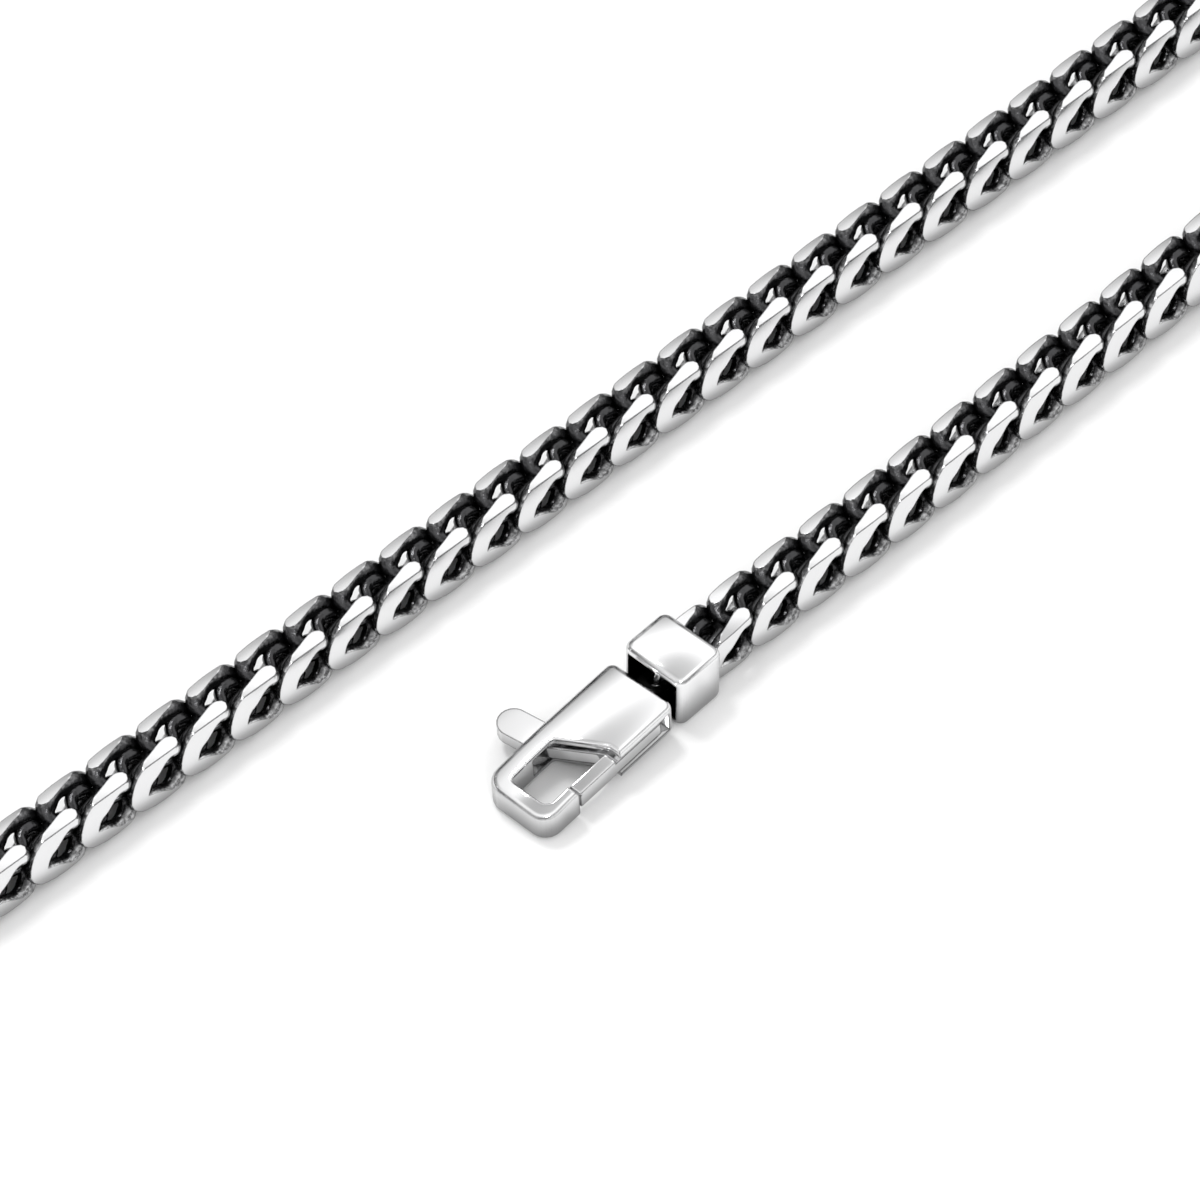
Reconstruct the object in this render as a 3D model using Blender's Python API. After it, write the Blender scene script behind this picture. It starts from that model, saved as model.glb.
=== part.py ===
"""Franco chain necklace in polished silver, lying open on a flat surface with its clasp undone.

The long way of the loop runs along X, the clasp's hook points to -X, and +Z is up.
The chain's links are finer than solids can hold, so the chain is one tube of its
outer size here, along the route that the links follow.
"""

import math

import bmesh
import bpy
from mathutils import Matrix, Vector

MM = 0.001
SEAT_GAP = 0.3 * MM  # between pieces that touch

# Chain
CHAIN_WIDTH = 5.5 * MM  # across its flat sides
TUBE_BEVEL_RESOLUTION = 2  # gives eight sides
TUBE_SIDES = 8
ROUTE_POINT_SPACING = 6.0 * MM

# End caps
CAP_LENGTH = 5.5 * MM
CAP_WIDTH = 7.0 * MM
CAP_HEIGHT = 5.9 * MM
CAP_EDGE_ROUNDING = 0.9 * MM  # seen from above
CAP_RIM_ROUNDING = 0.55 * MM
CAP_SIDE_WALL = 0.7 * MM
CAP_BACK_WALL = 1.2 * MM
CAP_BAR_DIAMETER = 0.8 * MM

# Ring that joins the clasp to its cap
RING_WIRE = 0.65 * MM

# Clasp body
CLASP_LENGTH = 16.5 * MM
CLASP_WIDTH = 7.4 * MM
CLASP_THICKNESS = 3.6 * MM
CLASP_EDGE_ROUNDING = 0.5 * MM
HOOK_CORNER_RADIUS = 1.7 * MM
BACK_CORNER_RADIUS = 0.8 * MM
HOOK_THICKNESS_SHARE = 0.82  # of the clasp's thickness, at the hook's end
HOOK_TAPER_LENGTH = 9.0 * MM
TAPER_STEPS = 8
CLASP_TO_CAP = 1.0 * MM
RIM_ROUNDING = 0.35 * MM  # of the window's edges

# Window of the clasp, from the hook's end and from the thumb side
HOOK_BAR_WIDTH = 1.6 * MM
THUMB_BAR_WIDTH = 1.8 * MM
HOOK_TIP_WIDTH = 1.25 * MM
HOOK_TIP_LENGTH = 4.2 * MM
WINDOW_NEAR_LENGTH = 6.9 * MM  # to the body, on the thumb side
WINDOW_FAR_LENGTH = 9.5 * MM  # to the body, on the gate side
WINDOW_CORNER_RADIUS = 0.45 * MM

# Lever with its gate and thumb tab
LEVER_THICKNESS = 1.4 * MM
LEVER_CLEARANCE = 0.4 * MM
GATE_CLEARANCE = 0.1 * MM  # above and below, where it swings into the slot
GATE_LENGTH = 4.6 * MM  # the thick stretch that closes the window
GATE_WIDTH = 1.35 * MM
GATE_ROUNDING = 0.2 * MM
PIVOT_FROM_BACK = 3.2 * MM
PIVOT_FROM_GATE_SIDE = 1.75 * MM
PIN_DIAMETER = 0.9 * MM
HEEL_RADIUS = 1.45 * MM
HEEL_TURN_DEG = 120  # of round heel, up to the thumb arm
HEEL_POCKET = 1.0 * MM  # open slot behind the heel, seen in the gate side
LEVER_SIDE_SETBACK = 0.1 * MM  # from the body's side
TAB_WIDTH = 3.0 * MM
TAB_REACH = 4.0 * MM  # out of the thumb side
TAB_FROM_HOOK_END = 6.9 * MM
TAB_LEAN = 0.35 * MM  # towards the hook
THUMB_SLOT_START = 4.4 * MM  # in the window's wall, from the hook's end

# Lug at the clasp's back, for the ring
LUG_WIDTH = 2.6 * MM
LUG_THICKNESS = 1.2 * MM
LUG_END_WALL = 0.5 * MM
LUG_ROOT = 0.8 * MM  # inside the body
LUG_CORNER_SHARE = 0.8  # of its half width, rounded off
LUG_HOLE_EASE = 0.1 * MM  # more than the seat gap, because the ring is curved

# Loop at the far end, which the clasp hooks into
LOOP_WIRE = 1.2 * MM
LOOP_MEAN_RADIUS = 2.8 * MM
LOOP_SINK_SHARE = 0.3  # of its wire, from where it would stand in half its wire

ARC_STEPS = 6
ROUTE_SAMPLES = 40  # between two points of the route
ROUND_SIDES = 24

# The chain's route in millimetres, seen from above, from the clasp's cap to the loop's cap
CHAIN_ROUTE = [
    (23.3, 0.0),
    (29.0, -0.3),
    (45.0, -1.3),
    (86.0, -2.8),
    (123.0, -4.2),
    (148.3, -5.4),
    (161.8, -5.7),
    (169.8, -2.3),
    (173.3, 5.4),
    (169.9, 13.0),
    (161.3, 15.8),
    (148.3, 16.0),
    (105.0, 18.4),
    (50.0, 22.0),
    (0.0, 25.2),
    (-37.0, 27.6),
    (-68.0, 29.6),
    (-83.0, 30.2),
    (-94.5, 25.9),
    (-99.3, 15.1),
    (-95.0, 4.5),
    (-84.5, 0.0),
    (-81.0, 0.0),
    (-77.5, 0.0),
]

# Places that follow from the sizes: along the clasp from its hook's end, or in the whole
HALF_WIDTH = CLASP_WIDTH / 2
INNER_TIP = -HALF_WIDTH + HOOK_TIP_WIDTH
INNER_THUMB = HALF_WIDTH - THUMB_BAR_WIDTH
PIVOT = (CLASP_LENGTH - PIVOT_FROM_BACK, -HALF_WIDTH + PIVOT_FROM_GATE_SIDE)
SLOT_HEIGHT = LEVER_THICKNESS + 2 * LEVER_CLEARANCE
GATE_THICKNESS = SLOT_HEIGHT - 2 * GATE_CLEARANCE
GATE_SIDE = -HALF_WIDTH + LEVER_SIDE_SETBACK
GATE_INNER = GATE_SIDE + GATE_WIDTH
GATE_END = HOOK_TIP_LENGTH + SEAT_GAP
HOLE_DIAMETER = RING_WIRE + 2 * (SEAT_GAP + LUG_HOLE_EASE)
LUG_HOLE = CLASP_LENGTH + CLASP_TO_CAP + SEAT_GAP + RING_WIRE / 2
CAP_END_X = CHAIN_ROUTE[0][0] * MM - SEAT_GAP
CAP_START_X = CAP_END_X - CAP_LENGTH
CAVITY_END_X = CAP_END_X - CAP_BACK_WALL
CAVITY_SIDE = min(CAVITY_END_X - CAP_START_X, CAP_HEIGHT - 2 * CAP_SIDE_WALL)
RING_MEAN_RADIUS = (CAVITY_SIDE - 2 * SEAT_GAP - RING_WIRE) / 2
HELD_X = CAP_START_X + SEAT_GAP + RING_WIRE / 2  # where the ring passes through the lug
RING_CENTRE_X = HELD_X + RING_MEAN_RADIUS
RING_CENTRE_Z = CAP_HEIGHT / 2
BAR_X = RING_CENTRE_X + RING_MEAN_RADIUS - RING_WIRE / 2 - SEAT_GAP - CAP_BAR_DIAMETER / 2
# The clasp leans so that its hook's end rests on the surface.
CLASP_TILT = math.asin((RING_CENTRE_Z - CLASP_THICKNESS / 2) / LUG_HOLE)


def clear_scene():
    for old in list(bpy.data.objects):
        bpy.data.objects.remove(old, do_unlink=True)


def new_collection(name):
    made = bpy.data.collections.new(name)
    bpy.context.scene.collection.children.link(made)
    return made


def silver(name, colour, roughness):
    """A polished metal, in the photo's light grey."""
    made = bpy.data.materials.new(name)
    made.use_nodes = True
    shader = made.node_tree.nodes["Principled BSDF"]
    shader.inputs["Base Color"].default_value = (*colour, 1.0)
    shader.inputs["Metallic"].default_value = 1.0
    shader.inputs["Roughness"].default_value = roughness
    return made


def add_object(name, mesh, collection, material=None):
    made = bpy.data.objects.new(name, mesh)
    collection.objects.link(made)
    if material:
        made.data.materials.append(material)
    return made


def mesh_from(name, work):
    bmesh.ops.recalc_face_normals(work, faces=work.faces)
    mesh = bpy.data.meshes.new(name)
    work.to_mesh(mesh)
    work.free()
    return mesh


def arc(centre, radius, start_deg, end_deg, steps=ARC_STEPS):
    """Points along a round stretch, both ends among them."""
    angles = [math.radians(start_deg + (end_deg - start_deg) * i / steps) for i in range(steps + 1)]
    return [(centre[0] + radius * math.cos(a), centre[1] + radius * math.sin(a)) for a in angles]


def rounded(corners, radii, steps=ARC_STEPS):
    """An outline whose corners are replaced by arcs of the given radii."""
    points = []
    count = len(corners)
    for i, corner in enumerate(corners):
        here = Vector(corner)
        back = (Vector(corners[i - 1]) - here).normalized()
        ahead = (Vector(corners[(i + 1) % count]) - here).normalized()
        if radii[i] <= 0:
            points.append(tuple(here))
            continue
        half = back.angle(ahead) / 2
        centre = here + (back + ahead).normalized() * (radii[i] / math.sin(half))
        first = here + back * (radii[i] / math.tan(half)) - centre
        last = here + ahead * (radii[i] / math.tan(half)) - centre
        turn = math.atan2(first.x * last.y - first.y * last.x, first.dot(last))
        for k in range(steps + 1):
            spoke = Matrix.Rotation(turn * k / steps, 2) @ first
            points.append(tuple(centre + spoke))
    return points


def inset(outline, distance):
    """The outline moved inwards by a distance, or outwards if it is negative."""
    moved = []
    count = len(outline)
    for i in range(count):
        before = (Vector(outline[i]) - Vector(outline[i - 1])).normalized()
        after = (Vector(outline[(i + 1) % count]) - Vector(outline[i])).normalized()
        along = (before + after).normalized()
        normal = Vector((-along.y, along.x))
        scale = 1 / max(0.5, normal.dot(Vector((-before.y, before.x))))
        moved.append(tuple(Vector(outline[i]) + normal * distance * scale))
    return moved


def loft(name, rings):
    """A closed mesh through outlines of equal point counts, each with its height."""
    work = bmesh.new()
    loops = [[work.verts.new((x, y, z)) for x, y in outline] for outline, z in rings]
    for lower, upper in zip(loops, loops[1:]):
        for i in range(len(lower)):
            j = (i + 1) % len(lower)
            work.faces.new((lower[i], lower[j], upper[j], upper[i]))
    work.faces.new(loops[0])
    work.faces.new(loops[-1])
    return mesh_from(name, work)


def rounded_plate(name, outline, bottom, top, rounding, steps=3):
    """A plate whose upper and lower rims are rounded."""
    rings = []
    for k in range(steps + 1):
        turn = math.pi / 2 * k / steps
        rings.append((inset(outline, rounding * (1 - math.sin(turn))), bottom + rounding * (1 - math.cos(turn))))
    for ring, height in reversed(rings[:]):
        rings.append((ring, top + bottom - height))
    return loft(name, rings)


def flared_cutter(name, outline, bottom, top, rounding, steps=3):
    """A cutter that leaves the rims of its hole rounded, and runs past both faces."""
    rings = [(inset(outline, -rounding), bottom - rounding)]
    for k in range(steps + 1):
        turn = math.pi / 2 * k / steps
        rings.append((inset(outline, -rounding * (1 - math.sin(turn))), bottom + rounding * (1 - math.cos(turn))))
    for ring, height in reversed(rings[:]):
        rings.append((ring, top + bottom - height))
    return loft(name, rings)


def cylinder_mesh(name, diameter, start, end, sides=ROUND_SIDES):
    """A round bar between two points."""
    work = bmesh.new()
    way = Vector(end) - Vector(start)
    middle = (Vector(end) + Vector(start)) / 2
    place = Matrix.Translation(middle) @ way.to_track_quat("Z", "Y").to_matrix().to_4x4()
    bmesh.ops.create_cone(
        work,
        cap_ends=True,
        segments=sides,
        radius1=diameter / 2,
        radius2=diameter / 2,
        depth=way.length,
        matrix=place,
    )
    return mesh_from(name, work)


def torus_mesh(name, mean_radius, wire, centre, standing, around=28, across=12):
    """A ring of round wire, lying flat or standing in the XZ plane."""
    work = bmesh.new()
    spine = [work.verts.new((mean_radius + x, 0, z)) for x, z in arc((0, 0), wire / 2, 0, 360, across)[:-1]]
    edges = [work.edges.new((spine[i], spine[(i + 1) % across])) for i in range(across)]
    bmesh.ops.spin(
        work,
        geom=spine + edges,
        cent=(0, 0, 0),
        axis=(0, 0, 1),
        angle=2 * math.pi,
        steps=around,
        use_merge=True,
    )
    bmesh.ops.remove_doubles(work, verts=work.verts, dist=1e-7)
    turn = Matrix.Rotation(math.pi / 2, 4, "X") if standing else Matrix()
    bmesh.ops.transform(work, matrix=Matrix.Translation(Vector(centre)) @ turn, verts=work.verts)
    return mesh_from(name, work)


def cut_or_join(target, tool_mesh, operation, helpers):
    """Adds a Boolean of a hidden helper object to a part."""
    helper = add_object(f"{tool_mesh.name}_helper", tool_mesh, helpers)
    helper.hide_render = True
    helper.display_type = "WIRE"
    helper.parent = target.parent
    boolean = target.modifiers.new(tool_mesh.name, "BOOLEAN")
    boolean.operation = operation
    boolean.object = helper


def smooth_shading(thing, angle_deg=35):
    thing.data.shade_smooth()
    thing.data.set_sharp_from_angle(angle=math.radians(angle_deg))


def route_curve_points():
    """Points every few millimetres on a smooth curve through the chain's route."""
    knots = [Vector((x * MM, y * MM)) for x, y in CHAIN_ROUTE]
    knots = [2 * knots[0] - knots[1]] + knots + [2 * knots[-1] - knots[-2]]
    dense = []
    for before, start, end, after in zip(knots, knots[1:], knots[2:], knots[3:]):
        times = [0.0]
        for one, two in ((before, start), (start, end), (end, after)):
            times.append(times[-1] + math.sqrt((two - one).length))
        for k in range(ROUTE_SAMPLES):
            dense.append(centripetal(before, start, end, after, times, k / ROUTE_SAMPLES))
    dense.append(knots[-2])
    return even_steps(dense)


def centripetal(a, b, c, d, times, share):
    """A point between b and c on the centripetal spline through four knots."""
    t0, t1, t2, t3 = times
    t = t1 + (t2 - t1) * share
    ab = a * ((t1 - t) / (t1 - t0)) + b * ((t - t0) / (t1 - t0))
    bc = b * ((t2 - t) / (t2 - t1)) + c * ((t - t1) / (t2 - t1))
    cd = c * ((t3 - t) / (t3 - t2)) + d * ((t - t2) / (t3 - t2))
    abc = ab * ((t2 - t) / (t2 - t0)) + bc * ((t - t0) / (t2 - t0))
    bcd = bc * ((t3 - t) / (t3 - t1)) + cd * ((t - t1) / (t3 - t1))
    return abc * ((t2 - t) / (t2 - t1)) + bcd * ((t - t1) / (t2 - t1))


def even_steps(dense):
    """The same way with its points evenly spaced."""
    reached = [0.0]
    for one, two in zip(dense, dense[1:]):
        reached.append(reached[-1] + (two - one).length)
    count = round(reached[-1] / ROUTE_POINT_SPACING)
    points = []
    index = 0
    for k in range(count + 1):
        wanted = reached[-1] * k / count
        while index < len(reached) - 2 and reached[index + 1] < wanted:
            index += 1
        share = (wanted - reached[index]) / max(1e-12, reached[index + 1] - reached[index])
        points.append(dense[index].lerp(dense[index + 1], share))
    return points


def make_chain(parts, material, root):
    """The chain's tube, with a flat side down on the surface."""
    points = route_curve_points()
    curve = bpy.data.curves.new("chain", "CURVE")
    curve.dimensions = "3D"
    curve.twist_mode = "Z_UP"
    curve.bevel_depth = CHAIN_WIDTH / 2 / math.cos(math.pi / TUBE_SIDES)
    curve.bevel_resolution = TUBE_BEVEL_RESOLUTION
    curve.use_fill_caps = True
    spline = curve.splines.new("POLY")
    spline.points.add(len(points) - 1)
    for knot, place in zip(spline.points, points):
        knot.co = (place.x, place.y, CHAIN_WIDTH / 2, 1)
        knot.tilt = math.pi / TUBE_SIDES
    chain = bpy.data.objects.new("chain", curve)
    parts.objects.link(chain)
    curve.materials.append(material)
    chain.parent = root
    return chain


def cap_outline(start, end, width):
    half = width / 2
    corners = [(start, -half), (end, -half), (end, half), (start, half)]
    return rounded(corners, [CAP_EDGE_ROUNDING] * 4)


def make_clasp_cap(parts, helpers, material, root):
    """The hollow cap between chain and clasp, with the bar inside that the ring hangs on."""
    outline = cap_outline(CAP_START_X, CAP_END_X, CAP_WIDTH)
    cap = add_object(
        "clasp_end_cap",
        rounded_plate("clasp_end_cap", outline, 0, CAP_HEIGHT, CAP_RIM_ROUNDING),
        parts,
        material,
    )
    cap.parent = root
    half = CAP_WIDTH / 2 - CAP_SIDE_WALL
    corners = [
        (CAP_START_X - CAP_LENGTH, -half),
        (CAVITY_END_X, -half),
        (CAVITY_END_X, half),
        (CAP_START_X - CAP_LENGTH, half),
    ]
    hollow = rounded(corners, [0, CAP_EDGE_ROUNDING / 2, CAP_EDGE_ROUNDING / 2, 0])
    cavity = loft("cap_cavity", [(hollow, CAP_SIDE_WALL), (hollow, CAP_HEIGHT - CAP_SIDE_WALL)])
    cut_or_join(cap, cavity, "DIFFERENCE", helpers)
    reach = CAP_WIDTH / 2 - CAP_SIDE_WALL / 2
    bar = cylinder_mesh(
        "cap_bar", CAP_BAR_DIAMETER, (BAR_X, -reach, RING_CENTRE_Z), (BAR_X, reach, RING_CENTRE_Z), 12
    )
    cut_or_join(cap, bar, "UNION", helpers)
    smooth_shading(cap)
    return cap


def make_ring(parts, material, root):
    centre = (RING_CENTRE_X, 0, RING_CENTRE_Z)
    ring = add_object(
        "clasp_ring", torus_mesh("clasp_ring", RING_MEAN_RADIUS, RING_WIRE, centre, True), parts, material
    )
    ring.parent = root
    smooth_shading(ring, 60)
    return ring


def taper_hook(mesh):
    """Lowers the top smoothly from the body to the hook's end, with the underside left flat."""
    work = bmesh.new()
    work.from_mesh(mesh)
    for k in range(1, TAPER_STEPS + 1):
        geometry = work.verts[:] + work.edges[:] + work.faces[:]
        plane = HOOK_TAPER_LENGTH * k / TAPER_STEPS
        bmesh.ops.bisect_plane(work, geom=geometry, plane_co=(plane, 0, 0), plane_no=(1, 0, 0), dist=1e-8)
    for vert in work.verts:
        share = min(1.0, max(0.0, vert.co.x / HOOK_TAPER_LENGTH))
        ease = 1 - (1 - share) ** 2
        vert.co.z *= HOOK_THICKNESS_SHARE + (1 - HOOK_THICKNESS_SHARE) * ease
    work.to_mesh(mesh)
    work.free()
    return mesh


def clasp_outline():
    corners = [
        (0, -HALF_WIDTH),
        (CLASP_LENGTH, -HALF_WIDTH),
        (CLASP_LENGTH, HALF_WIDTH),
        (0, HALF_WIDTH),
    ]
    radii = [HOOK_CORNER_RADIUS, BACK_CORNER_RADIUS, BACK_CORNER_RADIUS, HOOK_CORNER_RADIUS]
    return rounded(corners, radii)


def window_outline():
    """The hook's window, open on the gate side between the hook's tip and the body."""
    past = -CLASP_WIDTH
    corners = [
        (HOOK_BAR_WIDTH, INNER_TIP),
        (HOOK_TIP_LENGTH, INNER_TIP),
        (HOOK_TIP_LENGTH, past),
        (WINDOW_FAR_LENGTH, past),
        (WINDOW_FAR_LENGTH, INNER_TIP),
        (WINDOW_NEAR_LENGTH, INNER_THUMB),
        (HOOK_BAR_WIDTH, INNER_THUMB),
    ]
    wide = WINDOW_CORNER_RADIUS * 2
    radii = [wide, 0, 0, 0, wide, WINDOW_CORNER_RADIUS, WINDOW_CORNER_RADIUS]
    return rounded(corners, radii)


def slot_outline():
    """Where the lever lies and sweeps, open to both sides and to the window."""
    past = CLASP_WIDTH
    thumb_wall = INNER_THUMB + THUMB_BAR_WIDTH / 2
    thumb_front = TAB_FROM_HOOK_END - TAB_WIDTH / 2 - LEVER_CLEARANCE
    heel_back = PIVOT[0] + HEEL_RADIUS + HEEL_POCKET
    heel_side = PIVOT[1] + HEEL_RADIUS + LEVER_CLEARANCE
    window_middle = (INNER_THUMB + INNER_TIP) / 2
    return [
        (thumb_front, past),
        (thumb_front, thumb_wall),
        (THUMB_SLOT_START, thumb_wall),
        (THUMB_SLOT_START, window_middle),
        (WINDOW_NEAR_LENGTH, window_middle),
        (WINDOW_NEAR_LENGTH, -past),
        (heel_back, -past),
        (heel_back, heel_side),
        (PIVOT[0], heel_side),
        (PIVOT[0], past),
    ]


def make_clasp_body(parts, helpers, material, pose):
    """Two plates with the hook, the pivot pin between them and the lug behind."""
    plate = rounded_plate("clasp_body", clasp_outline(), 0, CLASP_THICKNESS, CLASP_EDGE_ROUNDING)
    body = add_object("clasp_body", taper_hook(plate), parts, material)
    body.parent = pose
    hook_top = CLASP_THICKNESS * HOOK_THICKNESS_SHARE
    window = flared_cutter("window", window_outline(), 0, hook_top, RIM_ROUNDING)
    cut_or_join(body, raise_to_taper(window), "DIFFERENCE", helpers)
    middle = CLASP_THICKNESS / 2
    outline = slot_outline()
    slot = loft("lever_slot", [(outline, middle - SLOT_HEIGHT / 2), (outline, middle + SLOT_HEIGHT / 2)])
    cut_or_join(body, slot, "DIFFERENCE", helpers)
    wall = CLASP_THICKNESS / 2 - SLOT_HEIGHT / 2
    pin = cylinder_mesh(
        "pivot_pin", PIN_DIAMETER, (*PIVOT, wall / 2), (*PIVOT, CLASP_THICKNESS - wall / 2), 16
    )
    cut_or_join(body, pin, "UNION", helpers)
    cut_or_join(body, lug_mesh(), "UNION", helpers)
    below, above = -CLASP_THICKNESS, 2 * CLASP_THICKNESS
    hole = cylinder_mesh("lug_hole", HOLE_DIAMETER, (LUG_HOLE, 0, below), (LUG_HOLE, 0, above), 16)
    cut_or_join(body, hole, "DIFFERENCE", helpers)
    smooth_shading(body)
    return body


def raise_to_taper(mesh):
    """Gives the window's cutter the same slope as the top that it cuts."""
    work = bmesh.new()
    work.from_mesh(mesh)
    hook_top = CLASP_THICKNESS * HOOK_THICKNESS_SHARE
    for vert in work.verts:
        if vert.co.z < hook_top / 2:
            continue
        share = min(1.0, max(0.0, vert.co.x / HOOK_TAPER_LENGTH))
        vert.co.z += (CLASP_THICKNESS - hook_top) * (1 - (1 - share) ** 2)
    work.to_mesh(mesh)
    work.free()
    return mesh


def lug_mesh():
    """The tongue behind the body that the ring passes through."""
    root = CLASP_LENGTH - LUG_ROOT
    end = LUG_HOLE + HOLE_DIAMETER / 2 + LUG_END_WALL
    half = LUG_WIDTH / 2
    corners = [(root, -half), (end, -half), (end, half), (root, half)]
    outline = rounded(corners, [0, half * LUG_CORNER_SHARE, half * LUG_CORNER_SHARE, 0])
    middle = CLASP_THICKNESS / 2
    return loft("clasp_lug", [(outline, middle - LUG_THICKNESS / 2), (outline, middle + LUG_THICKNESS / 2)])


def lever_outline():
    """The lever around its pivot: heel, gate arm along one side and thumb arm to the other."""
    tab_half = TAB_WIDTH / 2
    tab_centre = (TAB_FROM_HOOK_END - TAB_LEAN, HALF_WIDTH + TAB_REACH - tab_half)
    return (
        [(GATE_END, GATE_SIDE), (PIVOT[0] + HEEL_RADIUS, GATE_SIDE)]
        + arc(PIVOT, HEEL_RADIUS, 0, HEEL_TURN_DEG, 8)
        + [(TAB_FROM_HOOK_END + tab_half, HALF_WIDTH)]
        + arc(tab_centre, tab_half, 0, 180, 10)
        + [(TAB_FROM_HOOK_END - tab_half, HALF_WIDTH)]
        + [(GATE_END + GATE_LENGTH, GATE_INNER), (GATE_END, GATE_INNER)]
    )


def make_lever(parts, helpers, material, pose):
    """The sprung lever, whose origin is on its pivot."""
    middle = CLASP_THICKNESS / 2
    pivot = Vector((*PIVOT, middle))
    outline = lever_outline()
    bottom = middle - LEVER_THICKNESS / 2
    mesh = loft("clasp_lever", [(outline, bottom), (outline, bottom + LEVER_THICKNESS)])
    mesh.transform(Matrix.Translation(-pivot))
    lever = add_object("clasp_lever", mesh, parts, material)
    lever.location = pivot
    lever.parent = pose
    gate_back = GATE_END + GATE_LENGTH
    corners = [
        (GATE_END, GATE_SIDE),
        (gate_back, GATE_SIDE),
        (gate_back, GATE_INNER),
        (GATE_END, GATE_INNER),
    ]
    gate_outline = rounded(corners, [GATE_ROUNDING] * 4, 2)
    low = middle - GATE_THICKNESS / 2
    gate = rounded_plate("gate_bar", gate_outline, low, low + GATE_THICKNESS, GATE_ROUNDING, 2)
    cut_or_join(lever, gate, "UNION", helpers)
    hole = cylinder_mesh(
        "pivot_hole",
        PIN_DIAMETER + 2 * SEAT_GAP,
        (*PIVOT, -CLASP_THICKNESS),
        (*PIVOT, 2 * CLASP_THICKNESS),
        16,
    )
    cut_or_join(lever, hole, "DIFFERENCE", helpers)
    smooth_shading(lever)
    return lever


def make_loop_cap(parts, helpers, material, root):
    """The plain cap of the far end with its loop soldered on."""
    end_x = CHAIN_ROUTE[-1][0] * MM
    start = end_x + SEAT_GAP
    outline = cap_outline(start, start + CAP_LENGTH, CAP_WIDTH)
    cap = add_object(
        "loop_end_cap",
        rounded_plate("loop_end_cap", outline, 0, CAP_HEIGHT, CAP_RIM_ROUNDING),
        parts,
        material,
    )
    cap.parent = root
    centre = (start + CAP_LENGTH + LOOP_MEAN_RADIUS - LOOP_WIRE * LOOP_SINK_SHARE, 0, CAP_HEIGHT / 2)
    loop = torus_mesh("end_loop", LOOP_MEAN_RADIUS, LOOP_WIRE, centre, False)
    cut_or_join(cap, loop, "UNION", helpers)
    smooth_shading(cap)
    return cap


def evaluated_box(things):
    """The lowest and highest corner of all the parts together."""
    bpy.context.view_layer.update()
    graph = bpy.context.evaluated_depsgraph_get()
    places = []
    for thing in things:
        evaluated = thing.evaluated_get(graph)
        mesh = evaluated.to_mesh()
        places += [evaluated.matrix_world @ vert.co for vert in mesh.vertices]
        evaluated.to_mesh_clear()
    lowest = Vector([min(p[axis] for p in places) for axis in range(3)])
    highest = Vector([max(p[axis] for p in places) for axis in range(3)])
    return lowest, highest


def main():
    clear_scene()
    parts = new_collection("franco_chain_necklace")
    helpers = new_collection("cutters")
    polished = silver("polished_silver", (0.80, 0.80, 0.81), 0.12)
    root = bpy.data.objects.new("necklace", None)
    parts.objects.link(root)
    # The clasp's own frame turns about its lug's hole, where the ring holds it.
    pose = bpy.data.objects.new("clasp_pose", None)
    parts.objects.link(pose)
    hinge_point = Vector((LUG_HOLE, 0, CLASP_THICKNESS / 2))
    held_at = Vector((HELD_X, 0, RING_CENTRE_Z))
    turn = Matrix.Rotation(-CLASP_TILT, 4, "Y")
    pose.matrix_world = Matrix.Translation(held_at) @ turn @ Matrix.Translation(-hinge_point)
    pose.parent = root
    things = [
        make_chain(parts, polished, root),
        make_clasp_cap(parts, helpers, polished, root),
        make_ring(parts, polished, root),
        make_clasp_body(parts, helpers, polished, pose),
        make_lever(parts, helpers, polished, pose),
        make_loop_cap(parts, helpers, polished, root),
    ]
    # The origin is below the middle of the whole, on the surface.
    lowest, highest = evaluated_box(things)
    root.location = (-(lowest.x + highest.x) / 2, -(lowest.y + highest.y) / 2, -lowest.z)


main()
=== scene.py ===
"""Looks of the franco chain necklace: interlocking links, polished clasp and caps, soft studio light."""

import math

import bmesh
import bpy
import numpy as np
from mathutils import Matrix, Vector


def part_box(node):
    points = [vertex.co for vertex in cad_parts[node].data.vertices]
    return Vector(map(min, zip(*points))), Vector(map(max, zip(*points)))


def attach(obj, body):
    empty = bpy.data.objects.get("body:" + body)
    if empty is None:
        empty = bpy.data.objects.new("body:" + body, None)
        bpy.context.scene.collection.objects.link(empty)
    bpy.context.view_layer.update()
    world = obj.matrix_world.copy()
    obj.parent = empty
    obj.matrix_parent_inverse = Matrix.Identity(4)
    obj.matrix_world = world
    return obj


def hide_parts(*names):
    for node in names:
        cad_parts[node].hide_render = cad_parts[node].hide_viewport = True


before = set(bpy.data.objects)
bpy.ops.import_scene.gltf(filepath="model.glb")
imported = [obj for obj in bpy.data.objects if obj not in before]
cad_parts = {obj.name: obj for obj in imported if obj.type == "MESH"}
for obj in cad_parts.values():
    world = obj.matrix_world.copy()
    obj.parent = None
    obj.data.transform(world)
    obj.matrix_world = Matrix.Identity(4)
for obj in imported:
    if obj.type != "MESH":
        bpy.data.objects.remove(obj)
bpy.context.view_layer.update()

MM = 0.001

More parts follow.
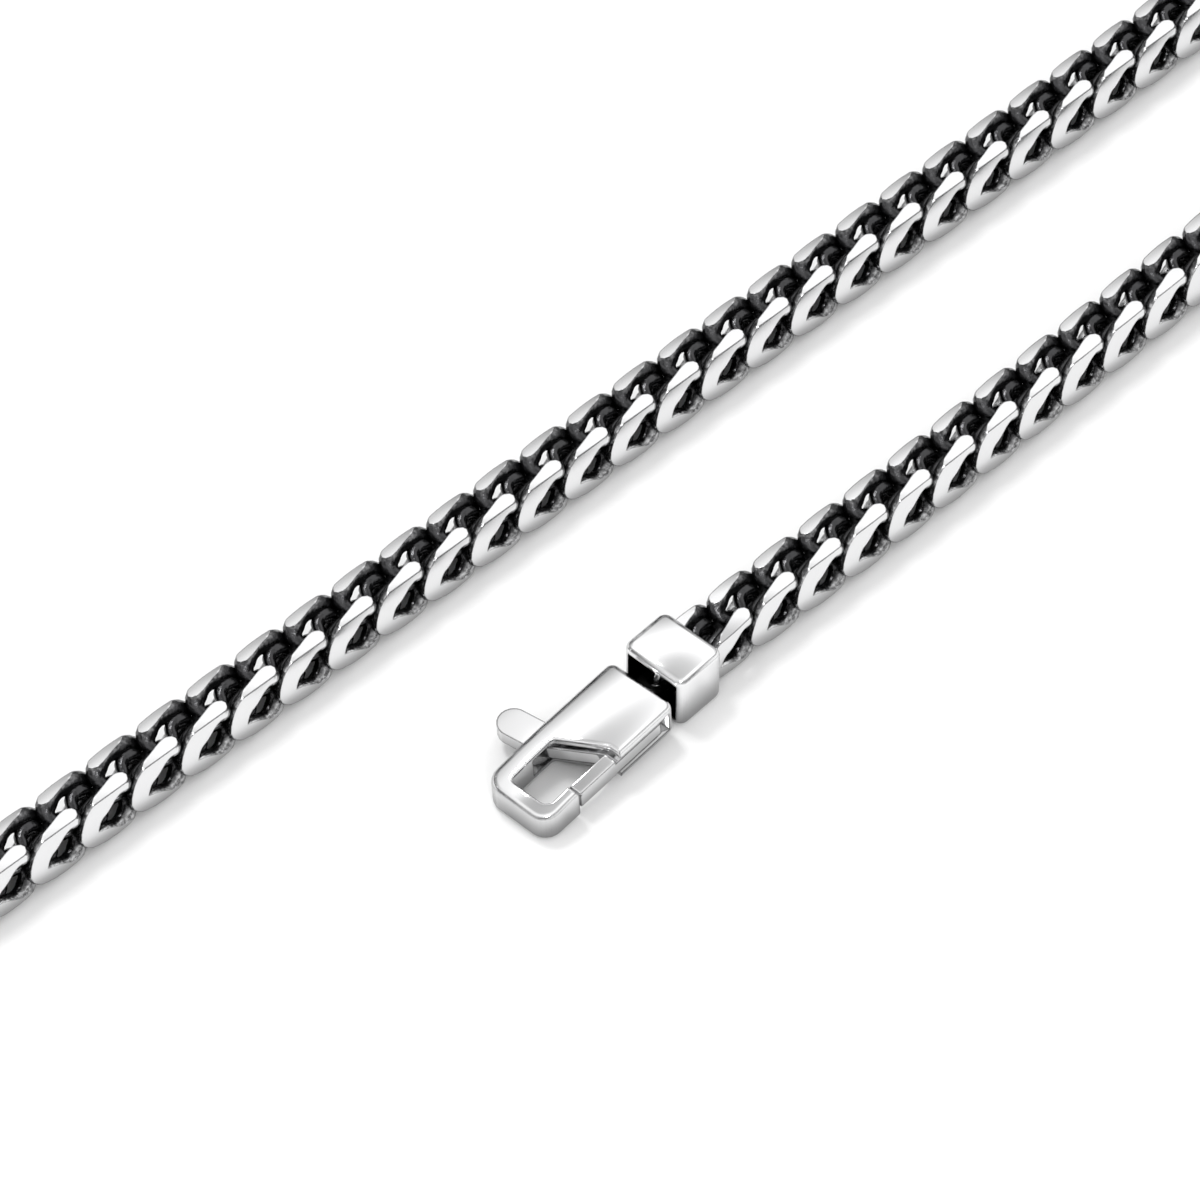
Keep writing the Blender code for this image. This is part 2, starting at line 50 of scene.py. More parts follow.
# The chain's route in millimetres, as in the part's source, and its pattern
ROUTE = [
    (23.3, 0.0),
    (29.0, -0.3),
    (45.0, -1.3),
    (86.0, -2.8),
    (123.0, -4.2),
    (148.3, -5.4),
    (161.8, -5.7),
    (169.8, -2.3),
    (173.3, 5.4),
    (169.9, 13.0),
    (161.3, 15.8),
    (148.3, 16.0),
    (105.0, 18.4),
    (50.0, 22.0),
    (0.0, 25.2),
    (-37.0, 27.6),
    (-68.0, 29.6),
    (-83.0, 30.2),
    (-94.5, 25.9),
    (-99.3, 15.1),
    (-95.0, 4.5),
    (-84.5, 0.0),
    (-81.0, 0.0),
    (-77.5, 0.0),
]
ROUTE_SAMPLES = 60  # between two points of the route
ROUTE_PLACES = 4000  # evenly spaced along its length
CAP_TO_ROUTE = 0.3  # from the clasp's cap to the route's first point
PITCH = 5.7  # from one link to the next of the same side
FIRST_LINK = 0.68  # along the route, of the first right-hand link
SPARE_LINKS = 2  # tried past each end of the route, and dropped where they are outside it
HALF_SIZE = 2.75  # of the whole chain
CREASE = 2.38  # from the chain's middle to its corner edges
BULGE = 0.27  # of its four sides
TURN_AXIS = 0.74  # a left-hand link is a right-hand one turned half round here
IN_CAP = 0.9  # how far the chain's ends reach past the route's ends, into the caps' walls
LEAST_STUB = 0.3  # a link that reaches less far than this into the chain's length is dropped
# The chain lies rolled a little on its corner edges: places along the route and degrees.
ROLL = [(0, 0), (9, 9), (80, 9), (190, -9), (400, -9), (460, 0)]

# The right-hand link's upper half: along, across, up and the wire's radius, in millimetres
LINK_PATH = [
    (-1.02, -2.19, 0.00, 0.98),
    (-0.82, -2.19, 0.58, 0.98),
    (-0.40, -2.18, 1.12, 0.98),
    (0.20, -2.15, 1.39, 0.99),
    (0.85, -2.08, 1.62, 0.98),
    (1.50, -1.98, 1.84, 0.88),
    (2.15, -1.86, 2.02, 0.80),
    (2.90, -1.68, 2.04, 0.84),
    (3.50, -1.52, 1.86, 0.94),
    (3.95, -1.32, 1.52, 0.92),
    (4.20, -0.90, 1.14, 0.78),
    (4.18, -0.30, 0.86, 0.62),
    (3.88, 0.38, 0.62, 0.50),
    (3.25, 0.66, 0.47, 0.43),
    (2.50, 0.55, 0.52, 0.43),
    (2.02, 0.02, 0.72, 0.50),
    (1.76, -0.62, 0.94, 0.60),
    (1.25, -1.00, 1.05, 0.67),
    (0.55, -1.10, 1.00, 0.70),
    (-0.05, -1.10, 0.74, 0.70),
    (-0.42, -1.10, 0.38, 0.66),
    (-0.55, -1.10, 0.00, 0.64),
]
# The fold at a link's back sits lower than its middle, in millimetres a millimetre from here.
SAG_FROM = 0.1
SAG = 0.42
LOWER_THINNER = 0.08  # share of the radius that the lower half's wire loses
LOWER_FADE = 1.2  # below the middle, where it has lost all of it
PATH_STEPS = 12  # between two points of the link's path
WIRE_SIDES = 14
WIRE_RINGS = 72
MERGE_DISTANCE = 0.004
SHARP_EDGE_DEG = 26

# The outside that the wire is cut to
ENVELOPE_START = -3.4
ENVELOPE_END = 6.4
ENVELOPE_RINGS = 15
ENVELOPE_SIDE_STEPS = 10
ENVELOPE_MIDDLE = 1.5
ENVELOPE_TAPER = 0.008  # loss of size with the square of the distance from its middle

# How much lighter the black oxide is, in worn flecks and as painted light: most at the outside,
# none at some depth, where the painted shade is deepest, and less on the sides that face up and down
NEAR_MOST = 1.3
NEAR_FADE = 0.9
NEAR_TOP_SHARE = 0.5

# Metals, and the painted shade and painted dark edge lines on them
SILVER = (0.72, 0.72, 0.725)
BRIGHT = (0.80, 0.80, 0.805)
# black oxide of the links' inner sides, also used for the dark line painted along the facets' edges
OXIDE_AND_EDGE_SHADE = (0.05, 0.05, 0.052)
# black oxide painted lighter near the outside (wear and painted light) and darker deep in the chain (painted
# shade)
WORN_UNSHADED_OXIDE = (0.54, 0.54, 0.545)
DEEP_SHADED_OXIDE = (0.055, 0.055, 0.057)
# painted dark reflection: the thin dark line along the clasp pieces' rounded edges
CLASP_EDGE_SHADE = (0.22, 0.22, 0.225)
# painted shade: near black in the clasp cap's hollow and on what lies in it
CAP_HOLLOW_SHADE = (0.03, 0.03, 0.03)
CAP_HOLLOW = (2.74 * MM, 2.82 * MM, 2.28 * MM)  # half sizes of the clasp cap's inside

cap_low, cap_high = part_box("clasp_end_cap")
# The route's own zero in the row frame
ORIGIN = Vector((cap_high.x - (ROUTE[0][0] - CAP_TO_ROUTE) * MM, (cap_low.y + cap_high.y) / 2, 0))


def material(name, colour, roughness, metallic=1.0):
    made = bpy.data.materials.new(name)
    made.use_nodes = True
    shader = made.node_tree.nodes["Principled BSDF"]
    shader.inputs["Base Color"].default_value = (*colour, 1.0)
    shader.inputs["Metallic"].default_value = metallic
    shader.inputs["Roughness"].default_value = roughness
    return made


def new_object(name, data):
    made = bpy.data.objects.new(name, data)
    bpy.context.scene.collection.objects.link(made)
    return made


def shader_of(made):
    return made.node_tree.nodes["Principled BSDF"]


def node_of(made, kind, **inputs):
    """A new node with some of its inputs set."""
    node = made.node_tree.nodes.new(kind)
    for name, value in inputs.items():
        node.inputs[name.replace("_", " ")].default_value = value
    return node


def vector_math(made, operation):
    node = node_of(made, "ShaderNodeVectorMath")
    node.operation = operation
    return node


def number_math(made, operation):
    node = node_of(made, "ShaderNodeMath")
    node.operation = operation
    return node


def set_ramp(node, low_place, low_colour, high_place, high_colour):
    """The two stops of a colour ramp."""
    low, high = node.color_ramp.elements
    low.position = low_place
    low.color = (*low_colour, 1)
    high.position = high_place
    high.color = (*high_colour, 1)


def set_range(node, from_low, from_high, to_low, to_high):
    """The four limits of a range node."""
    node.inputs["From Min"].default_value = from_low
    node.inputs["From Max"].default_value = from_high
    node.inputs["To Min"].default_value = to_low
    node.inputs["To Max"].default_value = to_high


def linked(made, *pairs):
    """Links pairs of sockets of a material's nodes."""
    for start, end in pairs:
        made.node_tree.links.new(start, end)


def add_bump(made, scale, detail, strength, distance):
    """Fine unevenness of the surface. Returns the noise for other uses."""
    place = node_of(made, "ShaderNodeTexCoord")
    noise = node_of(made, "ShaderNodeTexNoise", Scale=scale, Detail=detail)
    bump = node_of(made, "ShaderNodeBump", Strength=strength, Distance=distance)
    linked(
        made,
        (place.outputs["Object"], noise.inputs["Vector"]),
        (noise.outputs["Fac"], bump.inputs["Height"]),
        (bump.outputs["Normal"], shader_of(made).inputs["Normal"]),
    )
    return noise


def outline_edges(made, radius, colour, edge_colour):
    """Rounds the edges in the shading and paints a thin dark line along them: painted dark reflection of the
    rounded edges.
    """
    shader = shader_of(made)
    bevel = node_of(made, "ShaderNodeBevel", Radius=radius)
    bevel.samples = 6
    geometry = node_of(made, "ShaderNodeNewGeometry")
    nearness = vector_math(made, "DOT_PRODUCT")
    ramp = node_of(made, "ShaderNodeValToRGB")
    set_ramp(ramp, 0.93, edge_colour, 0.993, colour)
    linked(
        made,
        (bevel.outputs["Normal"], nearness.inputs[0]),
        (geometry.outputs["Normal"], nearness.inputs[1]),
        (nearness.outputs["Value"], ramp.inputs["Fac"]),
        (ramp.outputs["Color"], shader.inputs["Base Color"]),
        (bevel.outputs["Normal"], shader.inputs["Normal"]),
    )
    return bevel


def vary_roughness(made, scale, low, high):
    """Fine wear: the polish is a little duller in places."""
    place = node_of(made, "ShaderNodeTexCoord")
    noise = node_of(made, "ShaderNodeTexNoise", Scale=scale, Detail=4.0)
    spread = node_of(made, "ShaderNodeMapRange")
    set_range(spread, 0.3, 0.7, low, high)
    linked(
        made,
        (place.outputs["Object"], noise.inputs["Vector"]),
        (noise.outputs["Fac"], spread.inputs["Value"]),
        (spread.outputs["Result"], shader_of(made).inputs["Roughness"]),
    )


def paint_floor_shade(made, place, lowest, top):
    """Painted shade: the polish is darker towards the surface that the piece lies on, standing in for the
    shadowed floor it mirrors.
    """
    shader = shader_of(made)
    colour = shader.inputs["Base Color"].links[0].from_socket
    part = node_of(made, "ShaderNodeSeparateXYZ")
    rise = node_of(made, "ShaderNodeMapRange")
    rise.interpolation_type = "SMOOTHSTEP"
    set_range(rise, 0.2 * MM, top, lowest, 1.0)
    dimmed = vector_math(made, "SCALE")
    linked(
        made,
        (place.outputs["Object"], part.inputs[0]),
        (part.outputs["Z"], rise.inputs["Value"]),
        (colour, dimmed.inputs[0]),
        (rise.outputs["Result"], dimmed.inputs["Scale"]),
        (dimmed.outputs["Vector"], shader.inputs["Base Color"]),
    )


def paint_hollow_shade(made, from_centre, half_sizes):
    """Painted shade where the place lies inside a box about the centre, whatever colour is outside it."""
    shader = shader_of(made)
    outside_colour = shader.inputs["Base Color"].links[0].from_socket
    size = vector_math(made, "ABSOLUTE")
    part = node_of(made, "ShaderNodeSeparateXYZ")
    linked(
        made,
        (from_centre.outputs["Vector"], size.inputs[0]),
        (size.outputs["Vector"], part.inputs[0]),
    )
    inside = None
    for axis, limit in zip("XYZ", half_sizes):
        test = number_math(made, "LESS_THAN")
        test.inputs[1].default_value = limit
        linked(made, (part.outputs[axis], test.inputs[0]))
        if inside is None:
            inside = test
            continue
        both = number_math(made, "MULTIPLY")
        linked(
            made,
            (inside.outputs[0], both.inputs[0]),
            (test.outputs[0], both.inputs[1]),
        )
        inside = both
    mix = node_of(made, "ShaderNodeMix")
    mix.data_type = "RGBA"
    colours = [socket for socket in mix.inputs if socket.type == "RGBA"]
    mixed = [socket for socket in mix.outputs if socket.type == "RGBA"][0]
    colours[1].default_value = (*CAP_HOLLOW_SHADE, 1)
    linked(
        made,
        (inside.outputs[0], mix.inputs[0]),
        (outside_colour, colours[0]),
        (mixed, shader.inputs["Base Color"]),
    )


def domed_silver(name, node, slope_along, slope_across, hollow=None):
    """Bright polish on a node's slightly domed faces, and painted shade inside a hollow box of these half
    sizes.
    """
    low, high = (Vector(corner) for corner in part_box(node))
    centre, half = (low + high) / 2, (high - low) / 2
    made = material(name, BRIGHT, 0.13)
    bevel = outline_edges(made, 0.22 * MM, BRIGHT, CLASP_EDGE_SHADE)
    vary_roughness(made, scale=500.0, low=0.10, high=0.17)
    place = node_of(made, "ShaderNodeTexCoord")
    from_centre = vector_math(made, "SUBTRACT")
    from_centre.inputs[1].default_value = centre
    # A height of minus the square of this vector has the wanted slopes at the node's ends.
    scaled = vector_math(made, "MULTIPLY")
    scaled.inputs[1].default_value = (
        math.sqrt(slope_along / (2 * half.x)),
        math.sqrt(slope_across / (2 * half.y)),
        0,
    )
    squared = vector_math(made, "DOT_PRODUCT")
    sunk = number_math(made, "MULTIPLY")
    sunk.inputs[1].default_value = -1
    bump = node_of(made, "ShaderNodeBump", Strength=1.0, Distance=1.0)
    linked(
        made,
        (place.outputs["Object"], from_centre.inputs[0]),
        (from_centre.outputs["Vector"], scaled.inputs[0]),
        (scaled.outputs["Vector"], squared.inputs[0]),
        (scaled.outputs["Vector"], squared.inputs[1]),
        (squared.outputs["Value"], sunk.inputs[0]),
        (sunk.outputs["Value"], bump.inputs["Height"]),
        (bevel.outputs["Normal"], bump.inputs["Normal"]),
        (bump.outputs["Normal"], shader_of(made).inputs["Normal"]),
    )
    # painted shade towards the floor
    paint_floor_shade(made, place, lowest=0.34, top=4.6 * MM)
    # painted shade inside the hollow
    if hollow:
        paint_hollow_shade(made, from_centre, hollow)
    bpy.data.objects[node].material_slots[0].material = made


def polished_link_metal():
    """The links' facets."""
    made = material("link_polished", SILVER, 0.10)
    # dark line along the facets' edges: partly the black oxide beside them, partly painted dark reflection
    # of the rounded edges
    outline_edges(made, 0.19 * MM, SILVER, OXIDE_AND_EDGE_SHADE)
    vary_roughness(made, scale=900.0, low=0.08, high=0.15)
    # painted shade towards the floor
    paint_floor_shade(made, node_of(made, "ShaderNodeTexCoord"), lowest=0.46, top=3.3 * MM)
    return made


def shaded_oxide_link_metal():
    """The links' inner sides: black oxide, with lighter worn flecks near the outside and painted shade that
    deepens into the chain.
    """
    made = material("link_shaded_oxide", OXIDE_AND_EDGE_SHADE, 0.24)
    grain = add_bump(made, scale=2600.0, detail=3.0, strength=0.5, distance=0.1 * MM)
    near = node_of(made, "ShaderNodeAttribute")
    near.attribute_name = "near_outside"
    blotch = number_math(made, "MULTIPLY")
    tone = node_of(made, "ShaderNodeValToRGB")
    set_ramp(tone, 0.20, DEEP_SHADED_OXIDE, 0.68, WORN_UNSHADED_OXIDE)
    linked(
        made,
        (near.outputs["Fac"], blotch.inputs[0]),
        (grain.outputs["Fac"], blotch.inputs[1]),
        (blotch.outputs["Value"], tone.inputs["Fac"]),
        (tone.outputs["Color"], shader_of(made).inputs["Base Color"]),
    )
    return made


polished = polished_link_metal()
dark = shaded_oxide_link_metal()
domed_silver("clasp_silver", "clasp_body", slope_along=0.20, slope_across=0.50)
domed_silver("lever_silver", "clasp_lever", slope_along=0.20, slope_across=0.36)
domed_silver("ring_silver", "clasp_ring", slope_along=0.01, slope_across=0.01)
domed_silver("cap_silver", "clasp_end_cap", slope_along=0.20, slope_across=0.38, hollow=CAP_HOLLOW)
domed_silver("loop_cap_silver", "loop_end_cap", slope_along=0.22, slope_across=0.30)


def smooth_between(a, b, c, d, share):
    """A point of the smooth curve from b to c."""
    first = c - a
    second = 2 * a - 5 * b + 4 * c - d
    third = 3 * b - a - 3 * c + d
    return 0.5 * (2 * b + first * share + second * share**2 + third * share**3)


def closed_path():
    """The whole link's centre line and radii, evenly spaced, from its upper half."""
    upper = np.array(LINK_PATH, float)
    lower = upper[1:-1][::-1] * np.array([1, 1, -1, 1])
    lower[:, 3] *= 1 - LOWER_THINNER * np.clip(-lower[:, 2] / LOWER_FADE, 0, 1)
    knots = np.vstack([upper, lower])
    count = len(knots)
    dense = []
    for i in range(count):
        around = [knots[(i + k) % count] for k in (-1, 0, 1, 2)]
        for share in np.linspace(0, 1, PATH_STEPS, endpoint=False):
            dense.append(smooth_between(*around, share))
    closed = np.vstack([dense, dense[:1]])
    steps = np.linalg.norm(np.diff(closed[:, :3], axis=0), axis=1)
    reached = np.concatenate([[0], np.cumsum(steps)])
    wanted = np.linspace(0, reached[-1], WIRE_RINGS, endpoint=False)
    path = np.stack([np.interp(wanted, reached, closed[:, k]) for k in range(4)], axis=1)
    path[:, 2] -= SAG * np.clip(SAG_FROM - path[:, 0], 0, None)
    return path


def ring_directions(ahead):
    """One direction across the wire for each ring, carried along it without turning, and the last gap."""
    normal = np.cross(ahead[0], (0, 0, 1.0))
    normals = []
    for way in ahead:
        normal = normal - way * normal.dot(way)
        normal /= np.linalg.norm(normal)
        normals.append(normal)
    end = normals[-1] - ahead[0] * normals[-1].dot(ahead[0])
    end /= np.linalg.norm(end)
    twist = math.atan2(np.cross(normals[0], end).dot(ahead[0]), normals[0].dot(end))
    return normals, twist


def wire_mesh():
    """The link as a closed round wire."""
    path = closed_path()
    centres, radii = path[:, :3], path[:, 3]
    ahead = np.roll(centres, -1, axis=0) - np.roll(centres, 1, axis=0)
    ahead /= np.linalg.norm(ahead, axis=1)[:, None]
    normals, twist = ring_directions(ahead)
    verts, faces = [], []
    for i, (centre, way, first, radius) in enumerate(zip(centres, ahead, normals, radii)):
        second = np.cross(way, first)
        shift = -twist * i / WIRE_RINGS
        for k in range(WIRE_SIDES):
            turn = 2 * math.pi * k / WIRE_SIDES + shift
            verts.append(centre + radius * (first * math.cos(turn) + second * math.sin(turn)))
    for i in range(WIRE_RINGS):
        here, after = i * WIRE_SIDES, ((i + 1) % WIRE_RINGS) * WIRE_SIDES
        for k in range(WIRE_SIDES):
            j = (k + 1) % WIRE_SIDES
            faces.append((here + k, here + j, after + j, after + k))
    mesh = bpy.data.meshes.new("wire")
    mesh.from_pydata([tuple(v) for v in verts], [], faces)
    work = bmesh.new()
    work.from_mesh(mesh)
    bmesh.ops.recalc_face_normals(work, faces=work.faces)
    work.to_mesh(mesh)
    work.free()
    mesh.materials.append(dark)
    mesh.materials.append(polished)
    return mesh


def envelope_mesh():
    """The outside that the wire is cut to: four bulging sides that meet in creases, smaller at both ends."""
    work = bmesh.new()
    rings = []
    for s in np.linspace(ENVELOPE_START, ENVELOPE_END, ENVELOPE_RINGS):
        size = 1 - ENVELOPE_TAPER * (s - ENVELOPE_MIDDLE) ** 2
        ring = []
        for side in range(4):
            turn = Matrix.Rotation(math.pi / 2 * side, 2)
            for k in range(ENVELOPE_SIDE_STEPS):
                y = CREASE * (2 * k / ENVELOPE_SIDE_STEPS - 1)
                z = CREASE + BULGE * (1 - (y / CREASE) ** 2)
                point = turn @ Vector((-z, -y))
                ring.append(work.verts.new((s, point.x * size, point.y * size)))
        rings.append(ring)
    for one, two in zip(rings, rings[1:]):
        for k in range(len(one)):
            j = (k + 1) % len(one)
            work.faces.new((one[k], one[j], two[j], two[k]))
    work.faces.new(rings[0])
    work.faces.new(rings[-1])
    bmesh.ops.recalc_face_normals(work, faces=work.faces)
    mesh = bpy.data.meshes.new("envelope")
    work.to_mesh(mesh)
    work.free()
    mesh.materials.append(polished)
    return mesh


def delete_doubled(work):
    """Merging leaves a few faces back to back with nothing between them, and both of each pair go."""
    by_corners = {}
    for face in work.faces:
        by_corners.setdefault(frozenset(face.verts), []).append(face)
    doubled = [face for faces in by_corners.values() if len(faces) > 1 for face in faces]
    bmesh.ops.delete(work, geom=doubled, context="FACES")


def link_prototype():
    """One link's points, triangles and whether each of them is polished."""
    wire = new_object("wire", wire_mesh())
    envelope = new_object("envelope", envelope_mesh())
    cut = wire.modifiers.new("cut", "BOOLEAN")
    cut.operation = "INTERSECT"
    cut.solver = "EXACT"
    cut.use_self = True
    cut.material_mode = "TRANSFER"
    cut.object = envelope
    bpy.context.view_layer.update()
    graph = bpy.context.evaluated_depsgraph_get()
    mesh = bpy.data.meshes.new_from_object(wire.evaluated_get(graph))
    bpy.data.objects.remove(wire)
    bpy.data.objects.remove(envelope)
    work = bmesh.new()
    work.from_mesh(mesh)
    bmesh.ops.remove_doubles(work, verts=work.verts, dist=MERGE_DISTANCE)
    bmesh.ops.triangulate(work, faces=work.faces)
    delete_doubled(work)
    work.to_mesh(mesh)
    work.free()
    names = [m.name for m in mesh.materials]
    shiny = names.index("link_polished")
    points = np.zeros(len(mesh.vertices) * 3)
    mesh.vertices.foreach_get("co", points)
    corners = np.zeros(len(mesh.polygons) * 3, np.int64)
    mesh.loops.foreach_get("vertex_index", corners)
    slots = np.zeros(len(mesh.polygons), np.int64)
    mesh.polygons.foreach_get("material_index", slots)
    return points.reshape(-1, 3), corners.reshape(-1, 3), (slots == shiny).astype(np.int64)


def blend_points(one, two, start, end, t):
    """The point at t on the line that is at one at start and at two at end."""
    return one * ((end - t) / (end - start)) + two * ((t - start) / (end - start))


def route_points():
    """Dense points on the same smooth curve as the source's."""
    knots = [np.array(p, float) for p in ROUTE]
    knots = [2 * knots[0] - knots[1]] + knots + [2 * knots[-1] - knots[-2]]
    dense = []
    for a, b, c, d in zip(knots, knots[1:], knots[2:], knots[3:]):
        times = [0.0]
        for one, two in ((a, b), (b, c), (c, d)):
            times.append(times[-1] + math.sqrt(np.linalg.norm(two - one)))
        t0, t1, t2, t3 = times
        for k in range(ROUTE_SAMPLES):
            t = t1 + (t2 - t1) * k / ROUTE_SAMPLES
            ab = blend_points(a, b, t0, t1, t)
            bc = blend_points(b, c, t1, t2, t)
            cd = blend_points(c, d, t2, t3, t)
            abc = blend_points(ab, bc, t0, t2, t)
            bcd = blend_points(bc, cd, t1, t3, t)
            dense.append(blend_points(abc, bcd, t1, t2, t))
    dense.append(knots[-2])
    return np.array(dense)


class Route:
    """Places at a distance along the chain's middle line."""

    def __init__(self):
        points = route_points()
        steps = np.linalg.norm(np.diff(points, axis=0), axis=1)
        reached = np.concatenate([[0], np.cumsum(steps)])
        self.length = reached[-1]
        self.at = np.linspace(0, self.length, ROUTE_PLACES)
        self.points = np.stack([np.interp(self.at, reached, points[:, k]) for k in (0, 1)], axis=1)
        ways = np.gradient(self.points, self.at, axis=0)
        self.ways = ways / np.linalg.norm(ways, axis=1)[:, None]

    def roll_at(self, along):
        """The chain's roll about its own middle line, eased between the places in the list."""
        places, turns = np.array(ROLL, float).T
        index = np.clip(np.searchsorted(places, along) - 1, 0, len(places) - 2)
        share = np.clip((along - places[index]) / (places[index + 1] - places[index]), 0, 1)
        ease = share * share * (3 - 2 * share)
        return np.radians(turns[index] + (turns[index + 1] - turns[index]) * ease)

    def place(self, local):
        """Points given as along, across and up, bent along the route, in metres."""
        s = np.clip(local[:, 0], 0, self.length)
        over = local[:, 0] - s
        base = np.stack([np.interp(s, self.at, self.points[:, k]) for k in (0, 1)], axis=1)
        way = np.stack([np.interp(s, self.at, self.ways[:, k]) for k in (0, 1)], axis=1)
        way /= np.linalg.norm(way, axis=1)[:, None]
        left = np.stack([-way[:, 1], way[:, 0]], axis=1)
        roll = self.roll_at(s)
        across = local[:, 1] * np.cos(roll) + local[:, 2] * np.sin(roll)
        up = local[:, 2] * np.cos(roll) - local[:, 1] * np.sin(roll)
        flat = base + way * over[:, None] + left * across[:, None]
        placed = np.column_stack([flat, up + HALF_SIZE]) * MM
        return placed + np.array(ORIGIN)


def clipped(points, triangles, slots, low, high):
    """A link cut off where it would reach through an end cap."""
    work = bmesh.new()
    verts = [work.verts.new(tuple(v)) for v in points]
    for corners, slot in zip(triangles, slots):
        face = work.faces.new([verts[i] for i in corners])
        face.material_index = int(slot)
    for plane, way in ((low, -1), (high, 1)):
        bmesh.ops.bisect_plane(
            work,
            geom=work.verts[:] + work.edges[:] + work.faces[:],
            plane_co=(plane, 0, 0),
            plane_no=(way, 0, 0),
            clear_outer=True,
        )
    bmesh.ops.triangulate(work, faces=work.faces)
    work.verts.index_update()
    new_points = np.array([tuple(v.co) for v in work.verts]).reshape(-1, 3)
    new_triangles = np.array([[v.index for v in f.verts] for f in work.faces], np.int64).reshape(-1, 3)
    new_slots = np.array([f.material_index for f in work.faces], np.int64)
    work.free()
    return new_points, new_triangles, new_slots


def mesh_of(name, points, triangles, slots, nearness):
    """A mesh from whole arrays, with its two materials and the nearness to the outside."""
    mesh = bpy.data.meshes.new(name)
    mesh.vertices.add(len(points))
    mesh.vertices.foreach_set("co", points.ravel())
    mesh.loops.add(len(triangles) * 3)
    mesh.loops.foreach_set("vertex_index", triangles.ravel().astype(np.int32))
    mesh.polygons.add(len(triangles))
    mesh.polygons.foreach_set("loop_start", np.arange(0, len(triangles) * 3, 3, dtype=np.int32))
    mesh.materials.append(dark)
    mesh.materials.append(polished)
    mesh.polygons.foreach_set("material_index", slots.astype(np.int32))
    near_outside = mesh.attributes.new("near_outside", "FLOAT", "POINT")
    near_outside.data.foreach_set("value", nearness.astype(np.float32))
    mesh.update(calc_edges=True)
    mesh.shade_smooth()
    mesh.set_sharp_from_angle(angle=math.radians(SHARP_EDGE_DEG))
    return mesh


def links_piece(name, starts, proto, turned, route):
    """All links of one side as one mesh, bent along the route."""
    points, triangles, slots = proto
    local = points.copy()
    if turned:
        local[:, 0] = 2 * TURN_AXIS - local[:, 0]
        local[:, 1] = -local[:, 1]
    low, high = -IN_CAP, route.length + IN_CAP
    all_points, all_triangles, all_slots, all_near, total = [], [], [], [], 0
    for start in starts:
        moved = local + np.array([start, 0, 0])
        first, last = moved[:, 0].min(), moved[:, 0].max()
        if last < low + LEAST_STUB or first > high - LEAST_STUB:
            continue
        kept, picked = triangles, slots
        if first < low or last > high:
            moved, kept, picked = clipped(moved, triangles, slots, low, high)
        # painted shade: the black is painted darker the deeper the wire lies in the chain
        depth = CREASE + BULGE - np.abs(moved[:, 1:3]).max(axis=1)
        on_top = np.abs(moved[:, 2]) > np.abs(moved[:, 1])
        wear_and_light = np.clip(NEAR_MOST - depth / NEAR_FADE, 0, NEAR_MOST)
        all_near.append(wear_and_light * np.where(on_top, NEAR_TOP_SHARE, 1))
        all_points.append(route.place(moved))
        all_triangles.append(kept + total)
        all_slots.append(picked)
        total += len(moved)
    mesh = mesh_of(
        name,
        np.vstack(all_points),
        np.vstack(all_triangles),
        np.concatenate(all_slots),
        np.concatenate(all_near),
    )
    made = new_object(name, mesh)
    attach(made, "necklace")
    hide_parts("chain")


route = Route()
proto = link_prototype()
link_numbers = range(-SPARE_LINKS, int(route.length / PITCH) + SPARE_LINKS + 1)
starts = [FIRST_LINK + PITCH * k for k in link_numbers]
links_piece("links_right", starts, proto, False, route)
links_piece("links_left", starts, proto, True, route)

# Stage: a plain pale floor
FLOOR_HALF_SIDE = 3.0
FLOOR_BELOW = 0.02 * MM
corners = [(x * FLOOR_HALF_SIDE, y * FLOOR_HALF_SIDE, 0) for x, y in ((-1, -1), (1, -1), (1, 1), (-1, 1))]
floor_mesh = bpy.data.meshes.new("floor")
floor_mesh.from_pydata(corners, [], [(0, 1, 2, 3)])
floor = new_object("floor", floor_mesh)
floor.location.z = -FLOOR_BELOW
floor_mesh.materials.append(material("floor_white", (0.82, 0.82, 0.82), roughness=0.6, metallic=0.0))

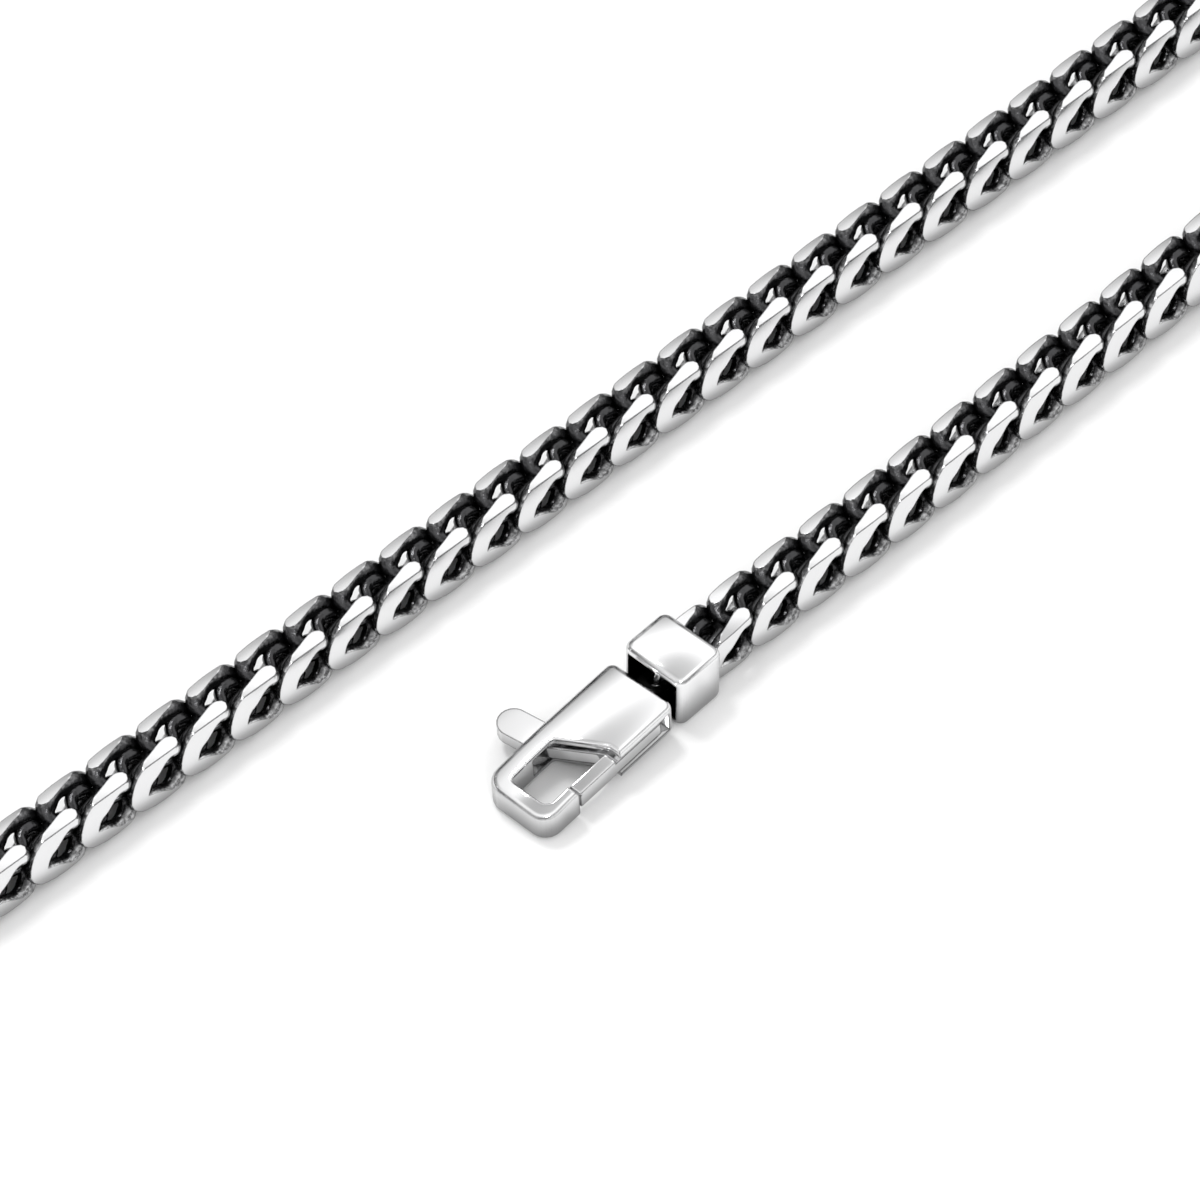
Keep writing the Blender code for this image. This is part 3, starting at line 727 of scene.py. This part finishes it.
# Camera: the photo's view, from 50 degrees above the surface
TARGET = ORIGIN + Vector((21.84, 10.06, 2.8)) * MM
ELEVATION = math.radians(50)
HEADING = Vector((0.7373, 0.6756, 0))
RIGHT = Vector((0.6756, -0.7373, 0))
UP = Vector((0, 0, 1))
VIEW = HEADING * math.cos(ELEVATION) - UP * math.sin(ELEVATION)
FRAME_WIDTH = 0.1056
camera_data = bpy.data.cameras.new("camera")
camera_data.lens = 200
camera_data.sensor_width = 36
camera_data.clip_start = 0.05
camera_data.clip_end = 20
camera = new_object("camera", camera_data)
camera.location = TARGET - VIEW * (FRAME_WIDTH * camera_data.lens / camera_data.sensor_width)
camera.rotation_mode = "QUATERNION"
camera.rotation_quaternion = VIEW.to_track_quat("-Z", "Y")
bpy.context.scene.camera = camera


def area_light(name, direction, distance, size, power):
    """A square soft light that shines from a direction onto the object."""
    data = bpy.data.lights.new(name, "AREA")
    data.shape = "SQUARE"
    data.size = size
    data.energy = power
    lamp = new_object(name, data)
    way = direction.normalized()
    lamp.location = TARGET + way * distance
    lamp.rotation_mode = "QUATERNION"
    lamp.rotation_quaternion = (-way).to_track_quat("-Z", "Y")


# The key light comes from above and beyond on the left, the other one from the camera's side.
key_way = HEADING * 0.35 - RIGHT * 0.35 + UP
front_way = -HEADING * 0.9 + RIGHT * 0.25 + UP * 0.55
area_light("key", key_way, distance=0.9, size=0.22, power=2.8)
area_light("front", front_way, distance=0.9, size=0.16, power=2.0)

# The studio round it, by height from the horizon to overhead, and how bright each is: dark low down,
# a bright band that the upper faces mirror, greyer overhead
STUDIO = [
    (0.0, 0.04),
    (0.12, 0.24),
    (0.26, 0.62),
    (0.40, 1.00),
    (0.52, 1.36),
    (0.78, 1.45),
    (0.90, 0.85),
    (1.0, 0.62),
]
BRIGHTEST = 1.5
world = bpy.data.worlds.new("studio")
bpy.context.scene.world = world
world.use_nodes = True
background = world.node_tree.nodes["Background"]
direction = node_of(world, "ShaderNodeTexCoord")
split = node_of(world, "ShaderNodeSeparateXYZ")
ramp = node_of(world, "ShaderNodeValToRGB")
linked(
    world,
    (direction.outputs["Generated"], split.inputs["Vector"]),
    (split.outputs["Z"], ramp.inputs["Fac"]),
    (ramp.outputs["Color"], background.inputs["Color"]),
)
background.inputs["Strength"].default_value = BRIGHTEST
stops = ramp.color_ramp.elements
while len(stops) < len(STUDIO):
    stops.new(0.5)
for stop, (height, brightness) in zip(stops, STUDIO):
    stop.position = height
    stop.color = (*[brightness / BRIGHTEST] * 3, 1)

bpy.context.scene.view_settings.view_transform = "Standard"
